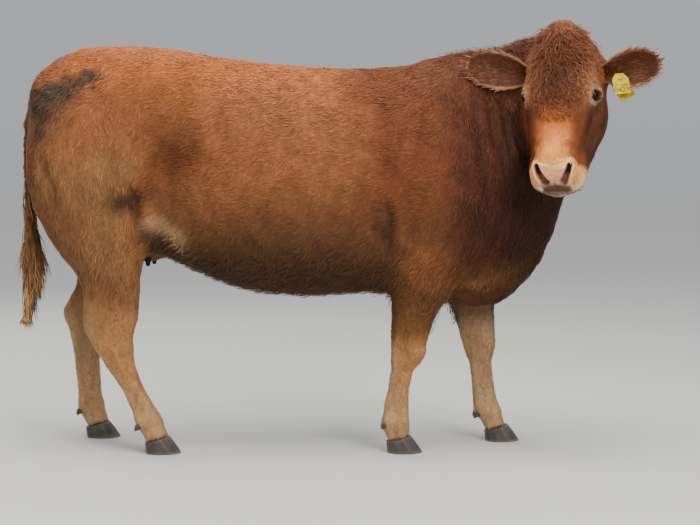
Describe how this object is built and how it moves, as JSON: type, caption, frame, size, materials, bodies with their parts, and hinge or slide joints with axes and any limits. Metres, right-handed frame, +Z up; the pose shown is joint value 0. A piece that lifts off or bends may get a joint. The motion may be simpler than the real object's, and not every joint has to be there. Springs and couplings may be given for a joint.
{
  "type": "red beef cow",
  "caption": "Life-size standing red beef cow without horns, its head turned to its right, tail hanging, with a plain yellow tag in the left ear.",
  "frame": {"origin": "middle of the standing cow's outline box, on the ground under its feet", "axes": "+X towards the chest, +Y towards the cow's left side, +Z up"},
  "size_m": [2.2288, 0.7966, 1.5248],
  "materials": {
    "red_coat": "red-brown hide with short hair, matt with a soft sheen",
    "dark_coat": "darker red-brown hide with longer hair",
    "pale_coat": "tan hide with short hair",
    "bare_skin": "pinkish-tan bare skin, slightly moist",
    "horn": "dark grey horn, satin",
    "eye": "glossy dark brown",
    "tag": "satin yellow with plain printed figures"
  },
  "bodies": {
    "root": {"fore_right_claw_outer": "horn", "fore_right_dewclaw_outer": "horn", "fore_right_claw_inner": "horn", "fore_right_dewclaw_inner": "horn", "fore_right_upper": "red_coat", "fore_right_lower": "pale_coat", "fore_left_claw_inner": "horn", "fore_left_dewclaw_inner": "horn", "fore_left_claw_outer": "horn", "fore_left_dewclaw_outer": "horn", "fore_left_upper": "red_coat", "fore_left_lower": "pale_coat", "hind_right_claw_outer": "horn", "hind_right_dewclaw_outer": "horn", "hind_right_claw_inner": "horn", "hind_right_dewclaw_inner": "horn", "hind_right_upper": "red_coat", "hind_right_lower": "pale_coat", "hind_left_claw_inner": "horn", "hind_left_dewclaw_inner": "horn", "hind_left_claw_outer": "horn", "hind_left_dewclaw_outer": "horn", "hind_left_upper": "red_coat", "hind_left_lower": "pale_coat", "eye_right": "eye", "eye_left": "eye", "trunk": "red_coat", "neck": "dark_coat", "head": "red_coat", "muzzle": "bare_skin", "lower_jaw": "pale_coat", "ear_right": "dark_coat", "ear_left": "dark_coat", "ear_tag_front": "tag", "ear_tag_back": "tag", "tail_base": "red_coat", "tail_dock": "red_coat", "tail_switch": "pale_coat", "udder": "bare_skin"}
  },
  "joints": []
}
